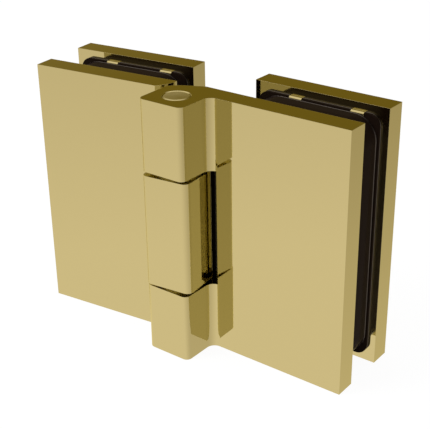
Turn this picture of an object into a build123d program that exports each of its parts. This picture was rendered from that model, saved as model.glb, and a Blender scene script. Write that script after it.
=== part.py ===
from build123d import *
import os
from math import acos, atan2, cos, hypot, radians, sin, sqrt, tan

# Glass-to-glass shower door hinge, in millimetres.
# The pin axis is the Z axis, the foot of both plates is z = 0, and the viewer stands at -Y.
# Each clamp is drawn in line along X, and the left one is then turned open about the pin.

# Plates
plate_height = 90.0
leaf_reach = 59.7
leaf_thickness = 7.5
rear_plate_thickness = 7.5
rear_plate_inner_edge = 10.9
rest_opening = 6.5

# Glass space
glass_thickness = 12.0
gasket_thickness = 1.5

# Knuckle section, about the pin axis
pin_setback = 4.9
knuckle_front = 8.7
knuckle_root_half_width = 8.65
knuckle_free_half_width = 8.45
knuckle_flank_taper = 1.0
knuckle_root_corner_radius = 2.0
knuckle_free_corner_radius = 2.3
knuckle_root_radius = 3.1
knuckle_back_radius = 10.2
knuckle_crease_radius = 0.4
knuckle_run_out = 2.2

# Leaf ends beside the other leaf's knuckle
leaf_end_front_edge = 11.4
leaf_end_back_edge = 7.8
leaf_end_bulge = 0.9

# Knuckle heights
end_knuckle_height = 24.4
knuckle_gap = 1.0
thrust_washer_thickness = 0.9

# Pin, bushes and washers
pin_diameter = 9.0
pin_chamfer = 0.5
bore_mouth_chamfer = 0.3
pin_seat_clearance = 0.01
running_clearance = 0.05
bush_wall = 1.25
bush_spacing = 7.2
bush_seat_clearance = 0.01
thrust_washer_outer_diameter = 14.5
thrust_washer_clearance = 0.3

# Pin lock screws
lock_screw_diameter = 4.0
lock_screw_length = 4.0
lock_screw_socket = 2.0
lock_screw_socket_depth = 1.8
pin_flat_depth = 0.3
screw_clearance = 0.05

# Clamp screws
clamp_screw_diameter = 6.0
clamp_screw_head_diameter = 11.4
clamp_screw_engagement = 5.6
clamp_screw_socket = 4.0
clamp_screw_socket_depth = 2.4
clamp_screw_spacing = 50.0
tapped_hole_spare_depth = 0.5
rear_hole_diameter = 6.6
countersink_diameter = 12.0

# Gaskets, packers and sleeves
gasket_inset = 2.5
gasket_inner_inset = 2.1
gasket_corner_radius = 4.0
gasket_edge_chamfer = 0.4
gasket_hole_diameter = 7.4
packer_inset = 3.0
packer_corner_radius = 8.0
tab_reach = 5.5
tab_overlap = 5.4
tab_setback = 0.4
tab_corner_radius = 2.0
sleeve_outer_diameter = 10.0
sleeve_bore = 6.8
sleeve_clearance = 0.1

# Locating lugs on the rear plates
lug_width = 4.6
lug_height = 4.0
lug_spacing = 22.4
lug_offset = 2.8
lug_chamfer = 0.45
lug_side_clearance = 0.1

# Places that follow from the sizes
leaf_front = pin_setback
leaf_back = leaf_front + leaf_thickness
glass_space = glass_thickness + 2 * gasket_thickness
rear_front = leaf_back + glass_space
rear_back = rear_front + rear_plate_thickness
mid_height = plate_height / 2
middle_knuckle_bottom = end_knuckle_height + knuckle_gap
middle_knuckle_top = plate_height - middle_knuckle_bottom
middle_knuckle_height = middle_knuckle_top - middle_knuckle_bottom
bush_length = (middle_knuckle_height - bush_spacing) / 2
pin_radius = pin_diameter / 2
bush_bore_radius = pin_radius + running_clearance
bush_outer_radius = bush_bore_radius + bush_wall
clamp_centre = (rear_plate_inner_edge + leaf_reach) / 2
screw_heights = (mid_height - clamp_screw_spacing / 2, mid_height + clamp_screw_spacing / 2)
lock_screw_heights = (end_knuckle_height / 2, plate_height - end_knuckle_height / 2)


def upright(sketch, bottom, height):
    """A plan outline raised from z = bottom."""
    return extrude(Pos(0, 0, bottom) * sketch, amount=height, dir=(0, 0, 1))


def across(sketch, front, depth):
    """An outline drawn in X and Z, pushed back from y = front."""
    plane = Plane(origin=(0, front, 0), x_dir=(1, 0, 0), z_dir=(0, -1, 0))
    return extrude(plane * sketch, amount=-depth)


def drill(radius, x, z, front, depth):
    """A cylinder along Y from y = front."""
    return Pos(x, front + depth / 2, z) * Rot(90, 0, 0) * Cylinder(radius, depth)


def taper(front_radius, back_radius, x, z, front, depth):
    """A cone along Y, from its front radius at y = front to its back radius."""
    return Pos(x, front + depth / 2, z) * Rot(-90, 0, 0) * Cone(front_radius, back_radius, depth)


def tangent_angle():
    """Angle about the pin where the knuckle's back arc runs out into a straight line."""
    run_out_distance = hypot(knuckle_run_out, leaf_back)
    run_out_angle = atan2(leaf_back, knuckle_run_out)
    return run_out_angle + acos(knuckle_back_radius / run_out_distance)


def flank(half_width, y):
    """Distance of a knuckle flank from the centre plane, as both flanks spread towards the back."""
    return half_width + (y + knuckle_front) * tan(radians(knuckle_flank_taper))


def crease_place():
    """Where the free flank meets the knuckle's back arc."""
    spread = tan(radians(knuckle_flank_taper))
    start = flank(knuckle_free_half_width, 0)
    square = 1 + spread**2
    y = (sqrt(square * knuckle_back_radius**2 - start**2) - start * spread) / square
    return -flank(knuckle_free_half_width, y), y


def rounded_corner(plan, point, radius):
    """A plan outline with the corner at one point rounded."""
    corner = plan.vertices().sort_by_distance((*point, 0))[0]
    return fillet(corner, radius)


def knuckle_section():
    """Plan of a leaf with its knuckle, for the clamp that points along +X."""
    root = (flank(knuckle_root_half_width, leaf_front), leaf_front)
    root_corner = (knuckle_root_half_width, -knuckle_front)
    free_corner = (-knuckle_free_half_width, -knuckle_front)
    crease = crease_place()
    crease_angle = atan2(crease[1], crease[0])
    end_angle = tangent_angle()
    middle_angle = (crease_angle + end_angle) / 2
    r = knuckle_back_radius
    arc_middle = (r * cos(middle_angle), r * sin(middle_angle))
    arc_end = (r * cos(end_angle), r * sin(end_angle))
    outline = Polyline(
        arc_end,
        (knuckle_run_out, leaf_back),
        (leaf_reach, leaf_back),
        (leaf_reach, leaf_front),
        root,
        root_corner,
        free_corner,
        crease,
    )
    plan = make_face(outline + ThreePointArc(crease, arc_middle, arc_end))
    plan = rounded_corner(plan, root, knuckle_root_radius)
    plan = rounded_corner(plan, root_corner, knuckle_root_corner_radius)
    plan = rounded_corner(plan, free_corner, knuckle_free_corner_radius)
    return rounded_corner(plan, crease, knuckle_crease_radius)


def window_section():
    """Plan of a leaf beside the other leaf's knuckle, up to its slanted and slightly bulging end."""
    front_edge = (leaf_end_front_edge, leaf_front)
    back_edge = (leaf_end_back_edge, leaf_back)
    lean = leaf_end_front_edge - leaf_end_back_edge
    slant = hypot(lean, leaf_thickness)
    bulge_x = (leaf_end_front_edge + leaf_end_back_edge) / 2 - leaf_end_bulge * leaf_thickness / slant
    bulge_y = (leaf_front + leaf_back) / 2 - leaf_end_bulge * lean / slant
    outline = Polyline(back_edge, (leaf_reach, leaf_back), (leaf_reach, leaf_front), front_edge)
    return make_face(outline + ThreePointArc(front_edge, (bulge_x, bulge_y), back_edge))


def leaf_screw_holes(leaf):
    """Blind tapped holes in the back of a leaf, for the clamp screws."""
    depth = clamp_screw_engagement + tapped_hole_spare_depth
    for z in screw_heights:
        leaf -= drill(clamp_screw_diameter / 2, clamp_centre, z, leaf_back - depth, depth)
    return leaf


def lock_screw_axis(z):
    """Place with +Z pointing out of the knuckle's back, square to its sloping face."""
    a = tangent_angle()
    return Plane(origin=(0, 0, z), z_dir=(cos(a), sin(a), 0), x_dir=(0, 0, 1))


def make_right_leaf():
    """Front plate with the upper and lower knuckle and the window between them."""
    top_start = plate_height - end_knuckle_height
    leaf = upright(knuckle_section(), 0, end_knuckle_height)
    leaf += upright(knuckle_section(), top_start, end_knuckle_height)
    leaf += upright(window_section(), end_knuckle_height, top_start - end_knuckle_height)
    seat = pin_radius + pin_seat_clearance
    mouth = seat + bore_mouth_chamfer
    leaf -= Pos(0, 0, mid_height) * Cylinder(seat, plate_height)
    leaf -= Pos(0, 0, bore_mouth_chamfer / 2) * Cone(mouth, seat, bore_mouth_chamfer)
    leaf -= Pos(0, 0, plate_height - bore_mouth_chamfer / 2) * Cone(seat, mouth, bore_mouth_chamfer)
    hole_length = knuckle_back_radius + lock_screw_diameter / 2
    hole = Pos(0, 0, hole_length / 2) * Cylinder(lock_screw_diameter / 2, hole_length)
    for z in lock_screw_heights:
        leaf -= lock_screw_axis(z) * hole
    return leaf_screw_holes(leaf)


def make_left_leaf():
    """Front plate with the middle knuckle, drawn towards +X and then mirrored."""
    leaf = upright(knuckle_section(), middle_knuckle_bottom, middle_knuckle_height)
    leaf += upright(window_section(), 0, middle_knuckle_bottom)
    leaf += upright(window_section(), middle_knuckle_top, middle_knuckle_bottom)
    leaf -= Pos(0, 0, mid_height) * Cylinder(bush_outer_radius + bush_seat_clearance, plate_height)
    return leaf_screw_holes(leaf)


def lug_centres(side):
    """X places of the lugs: the same plate serves both sides, so their shift keeps its sign."""
    return [clamp_centre + side * lug_offset + step * lug_spacing / 2 for step in (-1, 1)]


def make_lug(x, z, up):
    """A lug on the rear plate's front, its outer edge sloping; up is 1 at the head, -1 at the foot."""
    front = rear_front - gasket_thickness
    half = lug_height / 2
    slope = lug_chamfer
    section = make_face(
        Polyline(
            (front, z - up * half),
            (rear_front, z - up * half),
            (rear_front, z + up * half),
            (front + slope, z + up * half),
            (front, z + up * (half - slope)),
            close=True,
        )
    )
    plane = Plane(origin=(x - lug_width / 2, 0, 0), x_dir=(0, 1, 0), z_dir=(1, 0, 0))
    return extrude(plane * section, amount=lug_width)


def lug_places(side):
    """X, Z and direction of the four lugs of one plate."""
    reach = mid_height - gasket_inset - lug_height / 2
    return [(x, mid_height + up * reach, up) for x in lug_centres(side) for up in (-1, 1)]


def make_rear_plate(side):
    """Clamp plate with countersunk screw holes and four locating lugs."""
    width = leaf_reach - rear_plate_inner_edge
    plate = Pos(clamp_centre, (rear_front + rear_back) / 2, mid_height) * Box(
        width, rear_plate_thickness, plate_height
    )
    hole = rear_hole_diameter / 2
    mouth = countersink_diameter / 2
    for z in screw_heights:
        plate -= drill(hole, clamp_centre, z, rear_front, rear_plate_thickness)
        plate -= taper(hole, mouth, clamp_centre, z, rear_back - (mouth - hole), mouth - hole)
    for x, z, up in lug_places(side):
        plate += make_lug(x, z, up)
    return plate


def rounded_pad(inner, outer, inset, corner, front, depth):
    """A flat pad with rounded corners, between x = inner and x = outer."""
    outline = RectangleRounded(outer - inner, plate_height - 2 * inset, corner)
    return across(Pos((inner + outer) / 2, mid_height) * outline, front, depth)


def punch(pad, diameter, front, depth):
    """Both clamp screw holes through a pad."""
    for z in screw_heights:
        pad -= drill(diameter / 2, clamp_centre, z, front, depth)
    return pad


def make_rear_gasket(side):
    """Thin pad on the rear plate, chamfered towards the glass and notched for the lugs."""
    front = rear_front - gasket_thickness
    inner = rear_plate_inner_edge + gasket_inner_inset
    outer = leaf_reach - gasket_inset
    pad = rounded_pad(inner, outer, gasket_inset, gasket_corner_radius, front, gasket_thickness)
    front_rim = pad.faces().sort_by(Axis.Y)[0].edges()
    pad = chamfer(front_rim, gasket_edge_chamfer)
    notch_width = lug_width + 2 * lug_side_clearance
    notch_height = lug_height + lug_side_clearance
    notch = Box(notch_width, gasket_thickness, notch_height)
    for x, z, up in lug_places(side):
        notch_z = z - up * lug_side_clearance / 2
        pad -= Pos(x, front + gasket_thickness / 2, notch_z) * notch
    return punch(pad, gasket_hole_diameter, front, gasket_thickness)


def make_front_gasket():
    """Thin pad behind a leaf, as large as the packer."""
    inner = rear_plate_inner_edge + packer_inset
    outer = leaf_reach - packer_inset
    pad = rounded_pad(inner, outer, packer_inset, packer_corner_radius, leaf_back, gasket_thickness)
    return punch(pad, gasket_hole_diameter, leaf_back, gasket_thickness)


def make_tab():
    """Tab of the left front gasket that closes the window behind the middle knuckle."""
    root = rear_plate_inner_edge + packer_inset + packer_corner_radius
    height = middle_knuckle_height + 2 * tab_overlap
    outline = RectangleRounded(root + tab_reach, height, tab_corner_radius)
    place = Pos((root - tab_reach) / 2, mid_height)
    return across(place * outline, leaf_back + tab_setback, gasket_thickness - tab_setback)


def make_glass_packer():
    """Thick block that fills the glass space, bored for the screw sleeves."""
    front = leaf_back + gasket_thickness
    inner = rear_plate_inner_edge + packer_inset
    outer = leaf_reach - packer_inset
    block = rounded_pad(inner, outer, packer_inset, packer_corner_radius, front, glass_thickness)
    return punch(block, sleeve_outer_diameter + 2 * sleeve_clearance, front, glass_thickness)


def make_sleeves():
    """Two sleeves that centre the screws in the glass holes."""
    front = leaf_back + gasket_thickness
    rings = []
    for z in screw_heights:
        ring = drill(sleeve_outer_diameter / 2, clamp_centre, z, front, glass_thickness)
        rings.append(ring - drill(sleeve_bore / 2, clamp_centre, z, front, glass_thickness))
    return Compound(rings)


def make_clamp_screw(z):
    """Countersunk socket screw from the back of the rear plate into the leaf."""
    shank = clamp_screw_diameter / 2 - screw_clearance
    head = clamp_screw_head_diameter / 2
    tip = leaf_back - clamp_screw_engagement
    head_depth = head - shank
    seat = (countersink_diameter - clamp_screw_head_diameter) / 2
    face = rear_back - seat
    screw = drill(shank, clamp_centre, z, tip, face - head_depth - tip)
    screw += taper(shank, head, clamp_centre, z, face - head_depth, head_depth)
    socket = RegularPolygon(clamp_screw_socket / 2, 6, major_radius=False)
    depth = clamp_screw_socket_depth
    return screw - across(Pos(clamp_centre, z) * socket, face - depth, depth)


def make_clamp_screws():
    """The two screws of one clamp."""
    return Compound([make_clamp_screw(z) for z in screw_heights])


def make_pin():
    """Hinge pin with chamfered ends and a flat under each lock screw."""
    pin = Pos(0, 0, mid_height) * Cylinder(pin_radius, plate_height)
    pin = chamfer(pin.edges().filter_by(GeomType.CIRCLE), pin_chamfer)
    flat_width = lock_screw_diameter + 2 * screw_clearance
    flat = Box(flat_width, pin_diameter, pin_flat_depth)
    for z in lock_screw_heights:
        pin -= lock_screw_axis(z) * Pos(0, 0, pin_radius - pin_flat_depth / 2) * flat
    return pin


def make_lock_screw(z):
    """Socket set screw that bears on the pin's flat."""
    radius = lock_screw_diameter / 2 - screw_clearance
    seat = pin_radius - pin_flat_depth
    body = Pos(0, 0, seat + lock_screw_length / 2) * Cylinder(radius, lock_screw_length)
    socket = RegularPolygon(lock_screw_socket / 2, 6, major_radius=False)
    top = seat + lock_screw_length
    body -= extrude(Pos(0, 0, top) * socket, amount=-lock_screw_socket_depth)
    return lock_screw_axis(z) * body


def make_bush(bottom):
    """Plain sleeve between the pin and the middle knuckle."""
    sleeve = Cylinder(bush_outer_radius, bush_length) - Cylinder(bush_bore_radius, bush_length)
    return Pos(0, 0, bottom + bush_length / 2) * sleeve


def make_thrust_washer(bottom):
    """Flat washer in a knuckle gap."""
    bore = pin_radius + thrust_washer_clearance
    ring = Cylinder(thrust_washer_outer_diameter / 2, thrust_washer_thickness)
    ring -= Cylinder(bore, thrust_washer_thickness)
    return Pos(0, 0, bottom + thrust_washer_thickness / 2) * ring


def left_side(piece):
    """A piece drawn towards +X, mirrored to the left and turned open about the pin."""
    return Rot(0, 0, rest_opening) * mirror(piece, about=Plane.YZ)


def opened(piece):
    """A piece about the pin axis, turned with the left clamp."""
    return Rot(0, 0, rest_opening) * piece


def build_nodes():
    """Every node of the hinge, in the resting pose."""
    lower_washer = middle_knuckle_bottom - thrust_washer_thickness
    return {
        "right_leaf": make_right_leaf(),
        "right_rear_plate": make_rear_plate(1),
        "right_front_gasket": make_front_gasket(),
        "right_rear_gasket": make_rear_gasket(1),
        "right_glass_packer": make_glass_packer(),
        "right_screw_sleeves": make_sleeves(),
        "right_clamp_screws": make_clamp_screws(),
        "hinge_pin": make_pin(),
        "pin_lock_screws": Compound([make_lock_screw(z) for z in lock_screw_heights]),
        "left_leaf": left_side(make_left_leaf()),
        "left_rear_plate": left_side(make_rear_plate(-1)),
        "left_front_gasket": left_side(make_front_gasket() + make_tab()),
        "left_rear_gasket": left_side(make_rear_gasket(-1)),
        "left_glass_packer": left_side(make_glass_packer()),
        "left_screw_sleeves": left_side(make_sleeves()),
        "left_clamp_screws": left_side(make_clamp_screws()),
        "lower_bush": opened(make_bush(middle_knuckle_bottom)),
        "upper_bush": opened(make_bush(middle_knuckle_top - bush_length)),
        "lower_thrust_washer": opened(make_thrust_washer(lower_washer)),
        "upper_thrust_washer": opened(make_thrust_washer(middle_knuckle_top)),
    }


os.makedirs("parts", exist_ok=True)
for name, shape in build_nodes().items():
    export_step(shape, f"parts/{name}.step")
    print(name, round(shape.volume, 1))
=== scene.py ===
# %% [markdown]
# A shower door hinge: two brass clamps that grip two panes of glass, joined by a knuckle and a pin.
# Its look is a mirror polish with a warm champagne tone, black rubber between the plates, and very
# little else, so almost everything the eye sees is a reflection. The lesson is how to give a mirror
# something worth reflecting, and how to finish edges so that they catch light as real ones do.

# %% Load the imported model
from math import radians

import bmesh
import bpy
import numpy as np
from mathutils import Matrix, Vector
from mathutils.geometry import delaunay_2d_cdt


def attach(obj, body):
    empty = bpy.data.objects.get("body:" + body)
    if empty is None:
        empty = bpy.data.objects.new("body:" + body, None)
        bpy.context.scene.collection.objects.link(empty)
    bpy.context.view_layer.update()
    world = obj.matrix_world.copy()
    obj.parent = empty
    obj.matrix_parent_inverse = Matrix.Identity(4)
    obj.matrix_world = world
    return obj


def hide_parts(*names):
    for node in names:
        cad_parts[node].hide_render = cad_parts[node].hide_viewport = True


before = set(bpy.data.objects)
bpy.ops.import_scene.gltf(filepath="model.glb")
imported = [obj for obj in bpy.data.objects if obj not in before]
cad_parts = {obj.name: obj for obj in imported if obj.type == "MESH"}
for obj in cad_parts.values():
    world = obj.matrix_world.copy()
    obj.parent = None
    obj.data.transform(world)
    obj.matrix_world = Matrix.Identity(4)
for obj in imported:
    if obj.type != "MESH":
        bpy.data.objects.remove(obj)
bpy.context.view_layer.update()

# %% [markdown]
# Colours are easiest to choose as hex values in sRGB, which is what a screen shows. The shader works
# in linear light, so one function turns the first into the second. A second function adds a node with
# its settings and its links, so that a material reads from top to bottom like a recipe.


# %% Colours and nodes
def linear(hex_value):
    """Linear RGBA from sRGB hex: small values are divided by 12.92, the rest follow a 2.4 power."""
    raw = np.array([int(hex_value[i:i + 2], 16) for i in (1, 3, 5)]) / 255
    toe = raw / 12.92
    shoulder = ((raw + 0.055) / 1.055) ** 2.4
    return (*np.where(raw <= 0.04045, toe, shoulder), 1.0)


def add(tree, kind, settings=None, links=None):
    """Add one node, set its properties and inputs by name, and link inputs to other nodes' outputs."""
    node = tree.nodes.new(kind)
    for key, value in (settings or {}).items():
        if isinstance(key, str) and hasattr(node, key):
            setattr(node, key, value)
        else:
            node.inputs[key].default_value = value
    for key, source in (links or {}).items():
        tree.links.new(source, node.inputs[key])
    return node


def new_material(name):
    """An empty node material and its node tree."""
    material = bpy.data.materials.new(name)
    material.use_nodes = True
    material.node_tree.nodes.clear()
    return material, material.node_tree


print("mid grey in linear light:", linear("#808080")[0])

# %% [markdown]
# The plates and leaves are cast brass, milled flat, polished and plated. A plated mirror finish is
# nearly perfect: what tells it from a computer's mirror is a faint waviness left by the polishing
# wheel, a little haze, and edges that were broken by a fine file, so that they catch the light. The
# edges could be bevelled in the mesh, but the Bevel node rounds them for the light alone, and the
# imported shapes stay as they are.

# %% Polished gold plating
# The base colour tints every reflection. The grazing tint keeps flat views of a face just as warm.
GOLD = "#C1BA8E"
GRAZING_TINT = "#FFFAD4"
# Millimetres from one wave of the polishing wheel to the next, and from one hazy patch to the next.
# A noise scale counts features in a metre, so it is 1000 over the size in millimetres.
POLISH_WAVE = 9.0
HAZE_PATCH = 14.0
# Metres of edge that the file took off
EDGE_BREAK = 0.00012
MIRROR = 0.035
SATIN = 0.4


def polished_brass(name, roughness):
    """Plated brass: its roughness goes from 0.7 to 1.3 times the given one, with a slow wave as bump."""
    material, tree = new_material(name)
    place = add(tree, "ShaderNodeTexCoord")
    haze = add(tree, "ShaderNodeTexNoise", {"Scale": 1000 / HAZE_PATCH, "Detail": 3.0},
               {"Vector": place.outputs["Object"]})
    # Noise keeps mostly between 0.3 and 0.7, and that part is spread over the whole range.
    rough = add(tree, "ShaderNodeMapRange",
                {"From Min": 0.3, "From Max": 0.7, "To Min": roughness * 0.7, "To Max": roughness * 1.3},
                {"Value": haze.outputs["Fac"]})
    edge = add(tree, "ShaderNodeBevel", {"samples": 6, "Radius": EDGE_BREAK})
    wave = add(tree, "ShaderNodeTexNoise", {"Scale": 1000 / POLISH_WAVE, "Detail": 1.0},
               {"Vector": place.outputs["Object"]})
    bump = add(tree, "ShaderNodeBump", {"Strength": 0.02, "Distance": 0.0001},
               {"Height": wave.outputs["Fac"], "Normal": edge.outputs["Normal"]})
    shader = add(tree, "ShaderNodeBsdfPrincipled",
                 {"Base Color": linear(GOLD), "Metallic": 1.0, "Specular Tint": linear(GRAZING_TINT)},
                 {"Roughness": rough.outputs["Result"], "Normal": bump.outputs["Normal"]})
    add(tree, "ShaderNodeOutputMaterial", links={"Surface": shader.outputs["BSDF"]})
    return material


# The mirror gives the eye a picture of the room, a little wavy, with a light line along each edge.
# Satin brass, on the pin and the washers, gives it only how bright the room is.
gold = polished_brass("polished_gold_plating", MIRROR)
satin_brass = polished_brass("satin_turned_brass", SATIN)
print("finishes:", gold.name, satin_brass.name)

# %% [markdown]
# The gaskets and the packers are moulded black rubber. Black rubber is never empty: a skin that is
# nearly without gloss takes a faint grey bloom, seen most along the surface, and the grain of the
# mould breaks it up. A thin greyer line along the rear rim is a painted highlight: it stands in for
# the light that the rounded rear edge catches at a grazing angle.
# That line could be a thin extra piece, but an attribute on the mesh paints it where it belongs.
# The bushes and screw sleeves are moulded nylon: the same recipe with more gloss and without the painted
# highlight.

# %% Moulded rubber and nylon
RUBBER = "#1D140F"
# The colour of the painted highlight: a thin greyer line along the rear rim, for a grazing reflection
RUBBER_EDGE_HIGHLIGHT = "#625A52"
HIGHLIGHT_ATTRIBUTE = "painted_highlight"
NYLON_BLACK = "#141414"
NYLON_NATURAL = "#D9D6C6"
# Real mould grain is about 0.1 mm, too fine to show here, so it is drawn 0.6 mm wide.
MOULD_GRAIN = 0.6
RUBBER_SHINE, NYLON_SHINE = 0.01, 0.5
RUBBER_BLOOM = 0.12
BLOOM_TONE = "#D8C2C4"
GASKET_ROUGHNESS, PACKER_ROUGHNESS = 0.16, 0.14
BUSH_ROUGHNESS, SLEEVE_ROUGHNESS = 0.35, 0.4


def moulded_skin(name, colour, roughness, shine, bloom=0.0, highlight=None):
    """Moulded skin: roughness varies by 0.06 with the grain, and a painted highlight is mixed in by an
    attribute.
    """
    material, tree = new_material(name)
    place = add(tree, "ShaderNodeTexCoord")
    grain = add(tree, "ShaderNodeTexNoise", {"Scale": 1000 / MOULD_GRAIN, "Detail": 2.0},
                {"Vector": place.outputs["Object"]})
    rough = add(tree, "ShaderNodeMapRange", {"To Min": roughness - 0.06, "To Max": roughness + 0.06},
                {"Value": grain.outputs["Fac"]})
    bump = add(tree, "ShaderNodeBump", {"Strength": 0.15, "Distance": 0.00003},
               {"Height": grain.outputs["Fac"]})
    shader = add(tree, "ShaderNodeBsdfPrincipled",
                 {"Base Color": linear(colour), "Specular IOR Level": shine, "Sheen Weight": bloom,
                  "Sheen Roughness": 0.25, "Sheen Tint": linear(BLOOM_TONE)},
                 {"Roughness": rough.outputs["Result"], "Normal": bump.outputs["Normal"]})
    # The painted highlight: its colour where the attribute is one
    if highlight:
        painted_highlight = add(tree, "ShaderNodeAttribute", {"attribute_name": HIGHLIGHT_ATTRIBUTE})
        skin = add(tree, "ShaderNodeMix", {"data_type": "RGBA", 6: linear(colour), 7: linear(highlight)},
                   {0: painted_highlight.outputs["Fac"]})
        tree.links.new(skin.outputs[2], shader.inputs["Base Color"])
    add(tree, "ShaderNodeOutputMaterial", links={"Surface": shader.outputs["BSDF"]})
    return material


# Rubber gives the eye a warm black with a grey breath along its rounds, and one thin greyer line,
# a painted highlight along the rear rim.
gasket_rubber = moulded_skin("gasket_rubber", RUBBER, GASKET_ROUGHNESS,
                             RUBBER_SHINE, RUBBER_BLOOM, RUBBER_EDGE_HIGHLIGHT)
packer_rubber = moulded_skin("packer_rubber", RUBBER, PACKER_ROUGHNESS,
                             RUBBER_SHINE, RUBBER_BLOOM, RUBBER_EDGE_HIGHLIGHT)
# Nylon gives it a soft, wide highlight on an even colour.
black_nylon = moulded_skin("moulded_black_nylon", NYLON_BLACK, BUSH_ROUGHNESS, NYLON_SHINE)
natural_nylon = moulded_skin("moulded_natural_nylon", NYLON_NATURAL, SLEEVE_ROUGHNESS, NYLON_SHINE)
print("finishes:", gasket_rubber.name, packer_rubber.name, black_nylon.name, natural_nylon.name)

# %% [markdown]
# The screws are stainless steel from a lathe. Real tool marks are rings about each screw's own axis,
# and they could be drawn so. But the screws point several ways and sit at the back, so one material
# with a fine noise, which makes the shine uneven, does for all of them.

# %% Turned stainless steel
STEEL = "#B9BBBE"
# Real tool marks are about 0.1 mm apart, too fine to show here, so they are drawn 0.35 mm wide.
TOOL_MARKS = 0.35


def turned_steel(name):
    """Stainless steel whose roughness goes from 0.18 to 0.34 with the tool marks."""
    material, tree = new_material(name)
    place = add(tree, "ShaderNodeTexCoord")
    marks = add(tree, "ShaderNodeTexNoise", {"Scale": 1000 / TOOL_MARKS, "Detail": 2.0},
                {"Vector": place.outputs["Object"]})
    rough = add(tree, "ShaderNodeMapRange", {"To Min": 0.18, "To Max": 0.34},
                {"Value": marks.outputs["Fac"]})
    shader = add(tree, "ShaderNodeBsdfPrincipled", {"Base Color": linear(STEEL), "Metallic": 1.0},
                 {"Roughness": rough.outputs["Result"]})
    add(tree, "ShaderNodeOutputMaterial", links={"Surface": shader.outputs["BSDF"]})
    return material


# Steel gives the eye a cool grey dot in the gold, with a broken highlight.
screw_steel = turned_steel("turned_stainless")
print("finish:", screw_steel.name)

# %% [markdown]
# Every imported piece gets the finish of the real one. Each could be dressed by hand, but the names of
# the pieces say what they are, so a short list from a word to a finish dresses them all. The packed
# rubber is on the list too, although moulded pieces take its place further down.

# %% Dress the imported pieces
FINISH = {
    "leaf": gold,
    "rear_plate": gold,
    "hinge_pin": satin_brass,
    "gasket": gasket_rubber,
    "packer": packer_rubber,
    "screws": screw_steel,
    "sleeves": natural_nylon,
    "bush": black_nylon,
    "washer": satin_brass,
}

for name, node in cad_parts.items():
    finish = next(material for word, material in FINISH.items() if word in name)
    node.data.materials.clear()
    node.data.materials.append(finish)
    print(name, "->", finish.name)

# %% [markdown]
# Each clamp grips its glass between rubber gaskets, and here a thick rubber packer fills the place of
# the glass. A box with a bevel would do, but moulded rubber has no sharp edge anywhere: its rim is a
# quarter round, also in the holes and in the notches that clear the lugs of the rear plate. So one
# profile is carried round every outline. First come the outlines, in millimetres, as seen from the
# front: x goes to the right, z goes up, and an outline runs so that the rubber is on its left.

# %% Corners and holes
CORNER_STEPS = 12
HOLE_STEPS = 48


def quarter_turn(centre, start, radius):
    """A rounded corner: the centre plus radius times (cos a, sin a), a quarter turn from start."""
    a = radians(start) + np.linspace(0, np.pi / 2, CORNER_STEPS)
    return np.array(centre) + radius * np.stack([np.cos(a), np.sin(a)], axis=-1)


def hole(centre, radius):
    """A hole, turning the other way: the centre plus radius times (cos a, -sin a)."""
    a = np.linspace(0, 2 * np.pi, HOLE_STEPS, endpoint=False)
    return np.array(centre) + radius * np.stack([np.cos(a), -np.sin(a)], axis=-1)


print("a corner takes", CORNER_STEPS, "points and a hole", HOLE_STEPS)

# %% Outlines with notches
NOTCH_WIDTH = 4.8
NOTCH_DEPTH = 4.1


def notch(x, edge, way):
    """A square notch: x plus and minus half its width, and the edge less way times its depth."""
    half = way * NOTCH_WIDTH / 2
    floor = edge - way * NOTCH_DEPTH
    return np.array([(x + half, edge), (x + half, floor), (x - half, floor), (x - half, edge)])


def rounded_outline(x, z, radius, notches=()):
    """Four rounded corners in turn, with the notches of the top and bottom edges between them."""
    (left, right), (low, high) = x, z
    top = [notch(place, high, 1) for place in sorted(notches, reverse=True)]
    bottom = [notch(place, low, -1) for place in sorted(notches)]
    return np.concatenate([
        quarter_turn((right - radius, high - radius), 0, radius), *top,
        quarter_turn((left + radius, high - radius), 90, radius),
        quarter_turn((left + radius, low + radius), 180, radius), *bottom,
        quarter_turn((right - radius, low + radius), 270, radius)])


print("a plain outline has", len(rounded_outline((0, 9), (0, 9), 2)), "points")


# %% The way out from an outline
def mitre(loop):
    """Offset direction at each point: the two edge normals added, over one plus their dot product."""
    edge = np.roll(loop, -1, axis=0) - loop
    after = np.stack([edge[:, 1], -edge[:, 0]], axis=-1) / np.linalg.norm(edge, axis=1)[:, None]
    before = np.roll(after, 1, axis=0)
    return (before + after) / (1 + (before * after).sum(axis=1))[:, None]


square = np.array([(0, 0), (1, 0), (1, 1), (0, 1)])
print("a step of 1 moves a square's first corner by", mitre(square)[0])

# %% [markdown]
# The wall is a grid: one way round the outline, the other way from the front face to the back. Its
# profile is a quarter round, a straight run and a quarter round again. The grid closes on itself, so
# no seam stays open. The painted highlight line covers the end of the straight run and the quarter
# round behind it. It could be a strip of its own, but then its edges would have to meet the wall point by
# point.

# %% Walls with a round rim
RIM_STEPS = 6
# Millimetres of the straight run that carry the painted highlight, and over which black turns to grey
HIGHLIGHT_WIDTH = 0.4
HIGHLIGHT_RAMP = 0.05


def rim_wall(loop, front, thickness, rim):
    """Wall grid: the loop, moved in by rim times (1 - sin a) while y goes on by rim times (1 - cos a).

    The quarter round starts at the front face, and the same round, turned over, ends at the back face.
    """
    a = np.linspace(0, np.pi / 2, RIM_STEPS)
    inset = rim * (1 - np.sin(a))
    y = rim * (1 - np.cos(a))
    # Two extra rows mark where the painted highlight band starts on the straight run.
    highlight = thickness - rim - HIGHLIGHT_WIDTH
    inset = np.concatenate([inset, [0, 0], inset[::-1]])
    y = front + np.concatenate([y, [highlight - HIGHLIGHT_RAMP, highlight], (thickness - y)[::-1]])
    flat = loop - mitre(loop) * inset[:, None, None]
    return np.stack([flat[..., 0], np.broadcast_to(y[:, None], flat.shape[:2]), flat[..., 1]], axis=-1)


WALL_ROWS = 2 * RIM_STEPS + 2
print("a wall has", WALL_ROWS, "rows")

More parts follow.
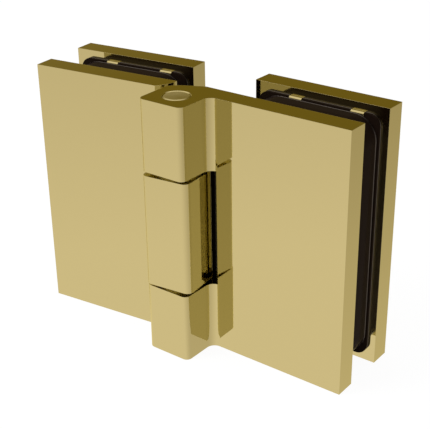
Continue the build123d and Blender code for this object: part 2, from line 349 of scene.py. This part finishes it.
# %% The painted highlight line
CORNER_FADE = 10


def highlight_band(wall, loop):
    """Painted highlight: one on the rear rows but the last; it fades in corners as the normal's larger
    part to a power.
    """
    row = np.arange(len(wall))
    rear = (row > RIM_STEPS) & (row < len(wall) - 1)
    straight = np.abs(mitre(loop)).max(axis=1).clip(0, 1) ** CORNER_FADE
    return (rear[:, None] * straight).ravel()


# These rows carry the painted highlight.
print("the trim line covers the rows", RIM_STEPS + 1, "to", WALL_ROWS - 2)


# %% Faces of a wall
def grid_faces(rows, count, first):
    """Quads of a grid that closes on itself: each point, the next round, and both in the next row."""
    i, j = np.meshgrid(np.arange(rows - 1), np.arange(count), indexing="ij")
    k = (j + 1) % count
    quads = np.stack([i * count + j, i * count + k, (i + 1) * count + k, (i + 1) * count + j], axis=-1)
    return first + quads.reshape(-1, 4)


print("the wall of a hole has", len(grid_faces(WALL_ROWS, HOLE_STEPS, 0)), "faces")

# %% [markdown]
# The two flat faces have holes, which a single polygon can't have. They could be cut with a Boolean,
# but a Delaunay triangulation fills the outline with well shaped triangles on the wall's own points,
# and those in the holes are left out.

# %% Faces with holes
# Points closer than this many millimetres would count as one.
MERGE_WITHIN = 1e-6


def face_triangles(loops):
    """Triangles between an outline and its holes, without those whose middle lies in a hole."""
    points = np.concatenate(loops)
    ends = np.cumsum([len(loop) for loop in loops])
    starts = ends - [len(loop) for loop in loops]
    edges = np.concatenate([np.stack([np.arange(s, e), np.roll(np.arange(s, e), -1)], axis=-1)
                            for s, e in zip(starts, ends)])
    inside_only = 1
    made = delaunay_2d_cdt([Vector(p) for p in points], edges.tolist(), [], inside_only, MERGE_WITHIN)
    found = np.array([vertex[0] for vertex in made[3]])
    triangles = found[np.array(made[2])]
    middle = points[triangles].mean(axis=1)
    for ring in loops[1:]:
        reach = np.linalg.norm(ring[0] - ring.mean(axis=0))
        outside = np.linalg.norm(middle - ring.mean(axis=0), axis=1) > reach
        triangles, middle = triangles[outside], middle[outside]
    return triangles


plain_face = face_triangles([rounded_outline((0, 9), (0, 9), 2)])
print("a plain face has", len(plain_face), "triangles")

# %% [markdown]
# Walls and faces make one closed mesh. The left clamp is a mirror image that stands open by 6.5
# degrees. Its pieces could be turned as objects, but they are mirrored and turned as whole arrays, so
# that each object stays at the origin, unturned. A mirror image is inside out, and recalculated
# normals put that right.

# %% Left and right
OPENED = 6.5


def to_side(points, side):
    """The left side: x changes sign, and then the piece turns about the pin by the angle it is open."""
    if side > 0:
        return points
    turn = radians(OPENED)
    x, y, z = -points[:, 0], points[:, 1], points[:, 2]
    return np.stack([x * np.cos(turn) - y * np.sin(turn), x * np.sin(turn) + y * np.cos(turn), z], axis=-1)


print("on the left (50, 0, 0) mm goes to", to_side(np.array([[50, 0, 0]]), -1)[0].round(1), "mm")

# %% One moulded mesh
# Edges with a larger angle than this, in degrees, stay sharp.
SOFT_ANGLE = 40


def moulded_mesh(name, loops, front, thickness, rim, side):
    """Walls round every loop, and triangles on the front ring and on the back ring of points."""
    walls = [rim_wall(loop, front, thickness, rim) for loop in loops]
    counts = np.array([len(loop) for loop in loops])
    sizes = counts * len(walls[0])
    starts = np.cumsum(sizes) - sizes
    quads = np.concatenate([grid_faces(*wall.shape[:2], s) for wall, s in zip(walls, starts)])
    front_ring = np.concatenate([s + np.arange(count) for s, count in zip(starts, counts)])
    back_ring = front_ring + np.repeat(sizes - counts, counts)
    triangles = face_triangles([wall[0][:, [0, 2]] for wall in walls])
    points = to_side(np.concatenate([wall.reshape(-1, 3) for wall in walls]) / 1000, side)
    mesh = bpy.data.meshes.new(name)
    mesh.from_pydata(points.tolist(), [], [*quads.tolist(), *front_ring[triangles].tolist(),
                                           *back_ring[triangles].tolist()])
    outward = bmesh.new()
    outward.from_mesh(mesh)
    bmesh.ops.recalc_face_normals(outward, faces=outward.faces)
    outward.to_mesh(mesh)
    outward.free()
    # The painted highlight band, as one value at each point
    painted_highlight = mesh.attributes.new(HIGHLIGHT_ATTRIBUTE, "FLOAT", "POINT")
    highlight_bands = [highlight_band(wall, loop) for wall, loop in zip(walls, loops)]
    painted_highlight.data.foreach_set("value", np.concatenate(highlight_bands))
    mesh.polygons.foreach_set("use_smooth", np.arange(len(mesh.polygons)) < len(quads))
    mesh.set_sharp_from_angle(angle=radians(SOFT_ANGLE))
    return mesh


print("rubber is shaded smooth over edges of up to", SOFT_ANGLE, "degrees")


# %% One rubber piece
def rubber_piece(name, node, side, loops, front, thickness, rim, material):
    """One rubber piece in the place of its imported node, riding on its own clamp."""
    piece = bpy.data.objects.new(name, moulded_mesh(name, loops, front, thickness, rim, side))
    bpy.context.collection.objects.link(piece)
    piece.data.materials.append(material)
    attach(piece, "right_clamp" if side > 0 else "left_clamp")
    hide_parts(node)
    print(name, "is", (1000 * np.array(piece.dimensions)).round(1), "mm")


print("the right rubber rides on right_clamp, the left rubber on left_clamp")

# %% [markdown]
# Now the real sizes, in millimetres from the middle of the pin, front to back: leaf, front gasket,
# packer, rear gasket, rear plate. The gaskets are 1.5 mm thick and the packer is 12 mm, like the glass
# that it stands for. Each piece could have a place of its own, but the real ones are a stack, so each
# one starts where the one before it ends.

# %% Packers and gaskets
PLATE = (10.9, 59.7)
HEIGHT = 90
LEAF_BACK = 12.4
GASKET = 1.5
GLASS = 12
PACKER_INSET, PACKER_CORNER = 3, 8
SHEET_INSET, SHEET_INNER_INSET, SHEET_CORNER = 2.5, 2.1, 4
SCREW_X, SCREW_Z = 35.3, (20, 70)
SLEEVE_RADIUS, SCREW_RADIUS = 5.1, 3.7
LUG_OFFSET, LUG_SPREAD = 2.8, 11.2
PACKER_RIM, GASKET_RIM = 0.4, 0.25

packer_front = LEAF_BACK + GASKET
sleeve_holes = [hole((SCREW_X, z), SLEEVE_RADIUS) for z in SCREW_Z]
screw_holes = [hole((SCREW_X, z), SCREW_RADIUS) for z in SCREW_Z]
block = rounded_outline((PLATE[0] + PACKER_INSET, PLATE[1] - PACKER_INSET),
                        (PACKER_INSET, HEIGHT - PACKER_INSET), PACKER_CORNER)

for side, hand in ((1, "right"), (-1, "left")):
    rubber_piece(hand + "_packer_rubber", hand + "_glass_packer", side, [block, *sleeve_holes],
                 packer_front, GLASS, PACKER_RIM, packer_rubber)
    rubber_piece(hand + "_front_rubber", hand + "_front_gasket", side, [block, *screw_holes],
                 LEAF_BACK, GASKET, GASKET_RIM, gasket_rubber)
    lugs = [SCREW_X + side * LUG_OFFSET + way * LUG_SPREAD for way in (-1, 1)]
    sheet = rounded_outline((PLATE[0] + SHEET_INNER_INSET, PLATE[1] - SHEET_INSET),
                            (SHEET_INSET, HEIGHT - SHEET_INSET), SHEET_CORNER, lugs)
    rubber_piece(hand + "_rear_rubber", hand + "_rear_gasket", side, [sheet, *screw_holes],
                 packer_front + GLASS, GASKET, GASKET_RIM, gasket_rubber)

# %% [markdown]
# The left front gasket reaches in behind the middle knuckle and makes the slot there black. That tab
# could be part of the gasket's outline, but an outline here is a rectangle with notches. So the tab is
# a short sheet that runs into the gasket, set back a little, so that no two faces share a plane there.

# %% The tab behind the middle knuckle
TAB_X, TAB_Z = (-5.5, 15.9), (20, 70)
TAB_CORNER = 2
TAB_SETBACK = 0.4

tab = rounded_outline(TAB_X, TAB_Z, TAB_CORNER)
rubber_piece("left_tab_rubber", "left_front_gasket", -1, [tab], LEAF_BACK + TAB_SETBACK,
             GASKET - TAB_SETBACK, GASKET_RIM, gasket_rubber)

# %% [markdown]
# The studio starts with the floor. A white table is lit until it burns out in the picture, and only a
# faint shadow is left. More light would burn out the hinge too, so the floor shows the camera mostly
# its own white, and a small share of lit floor keeps the shadow. To mirrored rays the floor is open,
# because the polished plates would otherwise show its far edge as a hard line.

# %% Floor
FLOOR_HALF = 3.0
FLOOR_WHITE = "#FFFFFF"
SHADOW_SHARE = 0.08
WHITE_LEVEL = 1.03


def floor_material():
    """White table: for the camera a share of lit floor and the rest plain white, for others lit floor."""
    material, tree = new_material("white_floor")
    path = add(tree, "ShaderNodeLightPath")
    pale = add(tree, "ShaderNodeBsdfDiffuse", {"Color": linear(FLOOR_WHITE)})
    white = add(tree, "ShaderNodeEmission", {"Color": linear(FLOOR_WHITE), "Strength": WHITE_LEVEL})
    seen = add(tree, "ShaderNodeMixShader", {0: SHADOW_SHARE}, {1: white.outputs[0], 2: pale.outputs[0]})
    camera_or_not = add(tree, "ShaderNodeMixShader", links={
        0: path.outputs["Is Camera Ray"], 1: pale.outputs[0], 2: seen.outputs[0]})
    opening = add(tree, "ShaderNodeBsdfTransparent")
    both = add(tree, "ShaderNodeMixShader", links={
        0: path.outputs["Is Glossy Ray"], 1: camera_or_not.outputs[0], 2: opening.outputs[0]})
    add(tree, "ShaderNodeOutputMaterial", links={"Surface": both.outputs[0]})
    return material


corners = np.array([(-1, -1, 0), (1, -1, 0), (1, 1, 0), (-1, 1, 0)]) * FLOOR_HALF
floor_mesh = bpy.data.meshes.new("floor")
floor_mesh.from_pydata(corners.tolist(), [], [(0, 1, 2, 3)])
floor_mesh.materials.append(floor_material())
floor = bpy.data.objects.new("floor", floor_mesh)
bpy.context.collection.objects.link(floor)
print("floor:", 2 * FLOOR_HALF, "m square")

# %% [markdown]
# Polished metal has hardly a colour of its own: it shows the room. The room could be modelled, with a
# ceiling, walls and lamps, but a formula is easier to tune. Its glow rises from dark olive walls to a
# warm floor below and a warm ceiling above, and both lean a little towards a window at the front left.
# Only mirrored rays see this room. Everything else is lit by plain white. Light in the narrow gaps
# bounces from brass to brass many times, so mirrored rays may bounce 12 times and not only 4.

# %% The room in the mirrors
ROOM_LIGHT = "#FFF1DD"
ROOM_DARK = "#7B6A2C"
ROOM_STRENGTH = 1.127
WINDOW_SIDE = (-0.643, -0.766, 0.0)
WINDOW_PULL = 0.25
# Where each glow starts and is full, as how far a direction points down or up, from -1 to 1
FLOOR_GLOW = (-0.35, 0.68)
CEILING_GLOW = (0.45, 0.75)
MIRROR_BOUNCES = 12

world = bpy.data.worlds.new("studio")
world.use_nodes = True
bpy.context.scene.world = world
tree = world.node_tree
tree.nodes.clear()
direction = add(tree, "ShaderNodeTexCoord").outputs["Generated"]
height = add(tree, "ShaderNodeSeparateXYZ", links={"Vector": direction})
window = add(tree, "ShaderNodeVectorMath", {"operation": "DOT_PRODUCT", 1: WINDOW_SIDE}, {0: direction})
pull = add(tree, "ShaderNodeMath", {"operation": "MULTIPLY", 1: WINDOW_PULL},
           {0: window.outputs["Value"]})
down = add(tree, "ShaderNodeMath", {"operation": "SUBTRACT"},
           {0: pull.outputs["Value"], 1: height.outputs["Z"]})
up = add(tree, "ShaderNodeMath", {"operation": "ADD"},
         {0: pull.outputs["Value"], 1: height.outputs["Z"]})
floor_glow = add(tree, "ShaderNodeMapRange", {"From Min": FLOOR_GLOW[0], "From Max": FLOOR_GLOW[1]},
                 {"Value": down.outputs["Value"]})
ceiling_glow = add(tree, "ShaderNodeMapRange",
                   {"From Min": CEILING_GLOW[0], "From Max": CEILING_GLOW[1]},
                   {"Value": up.outputs["Value"]})
glow = add(tree, "ShaderNodeMath", {"operation": "MAXIMUM"},
           {0: floor_glow.outputs["Result"], 1: ceiling_glow.outputs["Result"]})
room = add(tree, "ShaderNodeMix", {"data_type": "RGBA", 6: linear(ROOM_DARK), 7: linear(ROOM_LIGHT)},
           {0: glow.outputs["Value"]})
mirrored = add(tree, "ShaderNodeBackground", {"Strength": ROOM_STRENGTH}, {"Color": room.outputs[2]})
bpy.context.scene.cycles.glossy_bounces = MIRROR_BOUNCES
print("the room glows below from", FLOOR_GLOW, "and above from", CEILING_GLOW)

# %% Plain light for everything else
SOFT_LIGHT = "#FFFFFF"
SOFT_LEVEL = 0.6

path = add(tree, "ShaderNodeLightPath")
plain_level = add(tree, "ShaderNodeMapRange", {"To Min": SOFT_LEVEL, "To Max": 1.0},
                  {"Value": path.outputs["Is Camera Ray"]})
plain = add(tree, "ShaderNodeBackground", {"Color": linear(SOFT_LIGHT)},
            {"Strength": plain_level.outputs["Result"]})
both = add(tree, "ShaderNodeMixShader", links={
    0: path.outputs["Is Glossy Ray"], 1: plain.outputs[0], 2: mirrored.outputs[0]})
add(tree, "ShaderNodeOutputWorld", links={"Surface": both.outputs[0]})
print("the world lights what is not mirrored at", SOFT_LEVEL, "of white")

# %% [markdown]
# One soft lamp hangs at the front left. A small lamp would draw hard shadows, so this one is half a
# metre wide. Mirrored rays don't see it, because the room already gives the metal its highlights.

# %% Lamp
LAMP_PLACE = (-0.36, -0.42, 0.62)
LAMP_POWER = 3.2
LAMP_WIDTH = 0.5

lamp_data = bpy.data.lights.new("soft_lamp", "AREA")
lamp_data.shape = "DISK"
lamp_data.size = LAMP_WIDTH
lamp_data.energy = LAMP_POWER
lamp = bpy.data.objects.new("soft_lamp", lamp_data)
lamp.location = LAMP_PLACE
lamp.rotation_euler = Vector(LAMP_PLACE).to_track_quat("Z", "Y").to_euler()
lamp.visible_glossy = False
bpy.context.collection.objects.link(lamp)
print("one soft lamp of", LAMP_POWER, "W at", LAMP_PLACE)

# %% [markdown]
# The camera could be set by eye, but its place was worked out from the corners of the plates in the
# photo. It stands in front of the hinge and to its right, and looks down by 26 degrees. The long lens
# keeps the upright edges nearly parallel.

# %% Camera
# Metres from the foot of the pin's axis, and degrees of turn about x, y and z
CAMERA_PLACE = (0.19105, -0.22823, 0.19131)
CAMERA_TURN = (64.414, 0.787, 37.353)
CAMERA_LENS = 84.21
NEAREST = 0.01

camera_data = bpy.data.cameras.new("camera")
camera_data.lens = CAMERA_LENS
camera_data.clip_start = NEAREST
camera = bpy.data.objects.new("camera", camera_data)
camera.location = CAMERA_PLACE
camera.rotation_euler = [radians(angle) for angle in CAMERA_TURN]
bpy.context.collection.objects.link(camera)
bpy.context.scene.camera = camera
bpy.context.scene.view_settings.view_transform = "Standard"
print("camera at", CAMERA_PLACE, "with a lens of", CAMERA_LENS, "mm")
